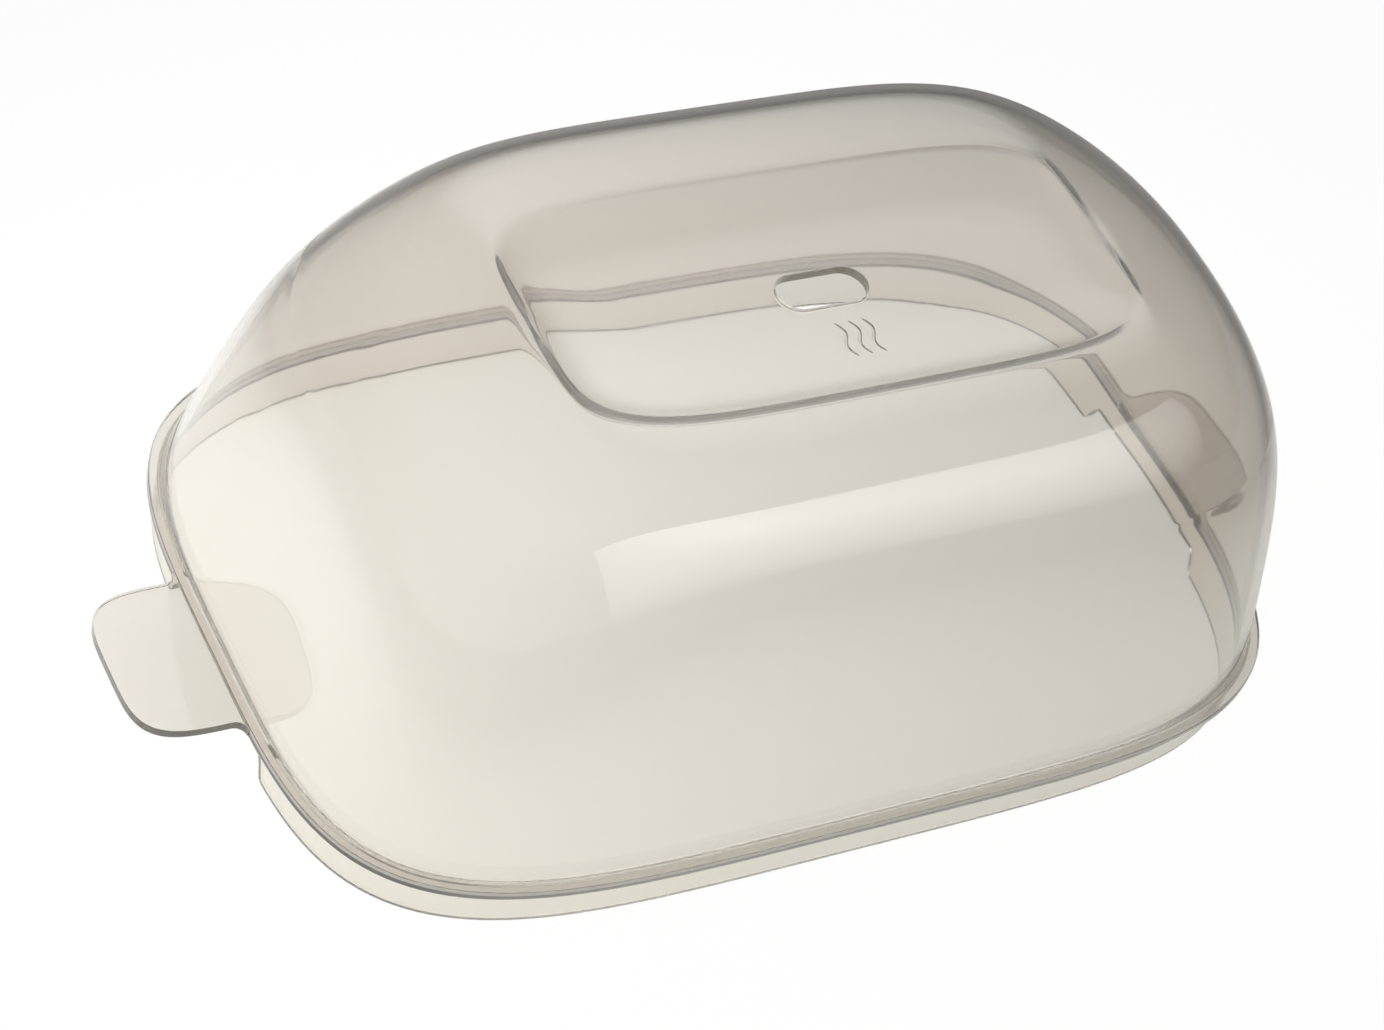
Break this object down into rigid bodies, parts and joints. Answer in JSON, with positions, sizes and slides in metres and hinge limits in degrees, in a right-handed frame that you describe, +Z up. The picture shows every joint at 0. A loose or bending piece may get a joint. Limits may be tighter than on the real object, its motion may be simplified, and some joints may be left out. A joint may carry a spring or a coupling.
{
  "type": "steam steriliser lid",
  "caption": "Clear smoke-tinted domed lid of a baby bottle steam steriliser, with a sunk crown panel, steam slot, rim flange, locating skirt and end finger tabs.",
  "frame": {"origin": "centre of the plan, on the lower edge of the skirt that the lid stands on", "axes": "+X along the length towards the right finger tab, +Y towards the rear long side, +Z up to the crown panel"},
  "size_m": [0.3312, 0.181, 0.1137],
  "materials": {
    "clear_smoke_plastic": "polished clear polycarbonate with a light smoke tint"
  },
  "bodies": {
    "root": {"dome_wall": "clear_smoke_plastic", "dome_shoulder": "clear_smoke_plastic", "crown_border": "clear_smoke_plastic", "crown_floor": "clear_smoke_plastic", "rim_flange": "clear_smoke_plastic", "front_skirt": "clear_smoke_plastic", "rear_skirt": "clear_smoke_plastic", "left_skirt_arch": "clear_smoke_plastic", "right_skirt_arch": "clear_smoke_plastic", "left_finger_tab": "clear_smoke_plastic", "right_finger_tab": "clear_smoke_plastic"}
  },
  "joints": []
}
